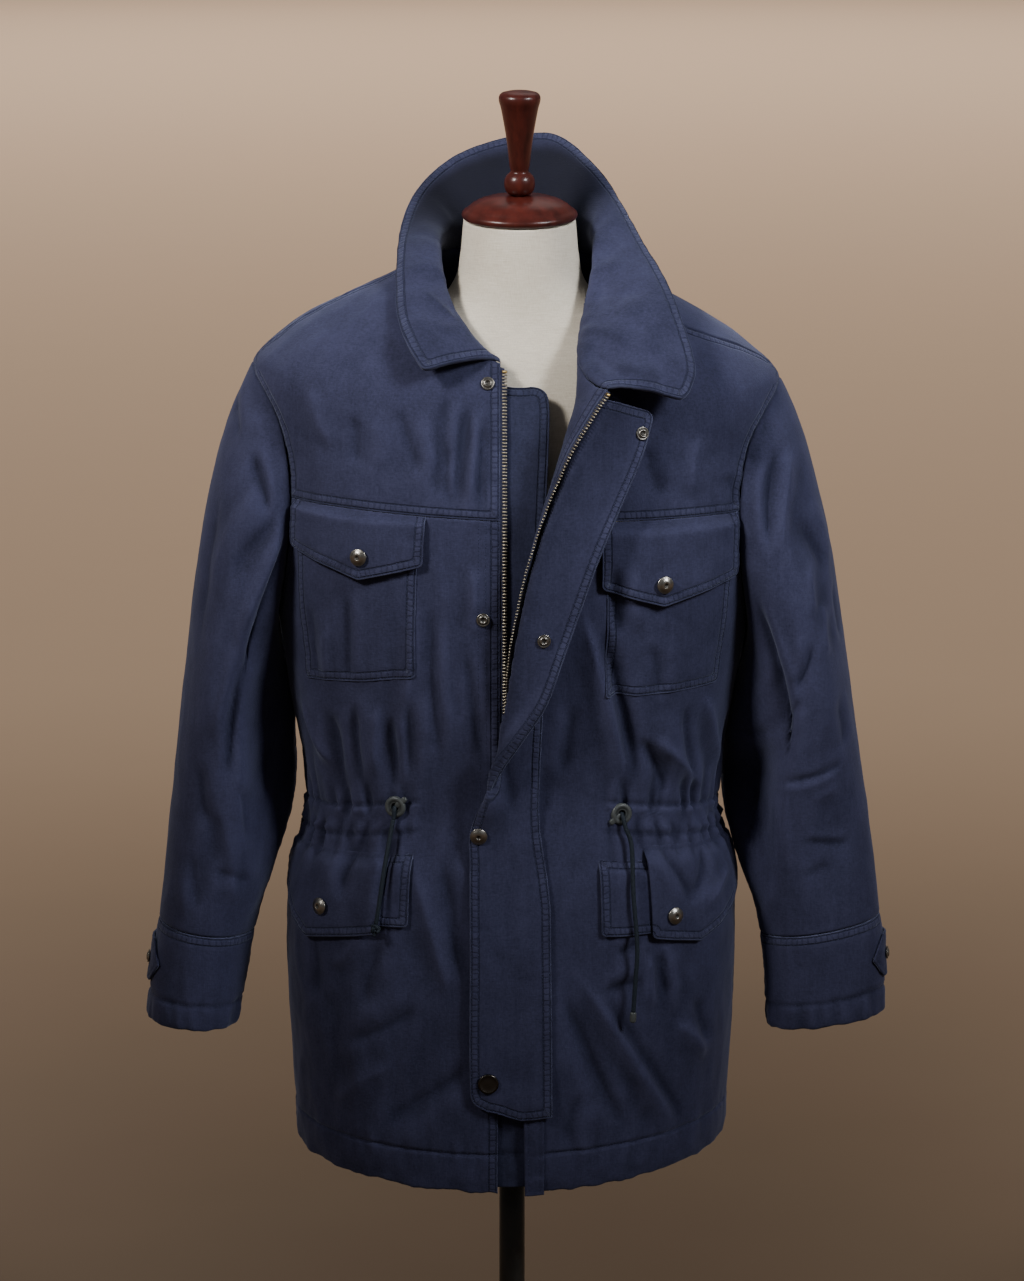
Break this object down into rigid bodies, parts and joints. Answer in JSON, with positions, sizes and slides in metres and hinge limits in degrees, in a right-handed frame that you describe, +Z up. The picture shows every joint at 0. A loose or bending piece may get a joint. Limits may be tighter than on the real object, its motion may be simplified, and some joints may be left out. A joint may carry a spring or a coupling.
{
  "type": "field jacket on a dress form",
  "caption": "Hip-length padded field jacket with zip, storm flap, gathered waist and patch pockets, worn open at the neck on a limbless dress form with a pole stand.",
  "frame": {"origin": "centre of the stand base's flat underside", "axes": "+Z up along the pole, -Y toward the front of the jacket, +X toward the wearer's left, which is the viewer's right"},
  "size_m": [0.712, 0.3495, 1.5881],
  "materials": {
    "navy": "matt washed cotton twill, padded",
    "navy_inside": "matt washed cotton twill",
    "zip_brass": "aged metal teeth on a navy tape",
    "pewter": "dark polished metal",
    "cord": "matt braid",
    "lock": "satin",
    "linen": "matt linen cover",
    "mahogany": "varnished red-brown wood",
    "dark_metal": "satin black-brown"
  },
  "bodies": {
    "root": {"back": "navy", "cap_hem": "pewter", "cap_waist": "pewter", "collar": "navy", "form_base": "dark_metal", "form_cap": "mahogany", "form_finial": "mahogany", "form_pole": "dark_metal", "form_torso": "linen", "left_chest_flap": "navy", "left_chest_pocket": "navy", "left_chest_snap": "pewter", "left_cord": "cord", "left_cord_end": "cord", "left_cuff": "navy", "left_cuff_snap": "pewter", "left_cuff_tab": "navy", "left_front": "navy", "left_lower_flap": "navy", "left_lower_snap": "pewter", "left_lower_tongue": "navy", "left_sleeve": "navy", "left_toggle": "lock", "left_yoke": "navy", "left_zip": "zip_brass", "right_chest_flap": "navy", "right_chest_pocket": "navy", "right_chest_snap": "pewter", "right_cord": "cord", "right_cord_end": "cord", "right_cuff": "navy", "right_cuff_snap": "pewter", "right_cuff_tab": "navy", "right_front": "navy", "right_lower_flap": "navy", "right_lower_snap": "pewter", "right_lower_tongue": "navy", "right_sleeve": "navy", "right_toggle": "lock", "right_yoke": "navy", "right_zip": "zip_brass", "socket_lower": "pewter", "socket_upper": "pewter", "storm_flap": "navy", "stud_lower": "pewter", "stud_upper": "pewter", "wind_guard": "navy_inside", "zip_end": "navy"}
  },
  "joints": []
}
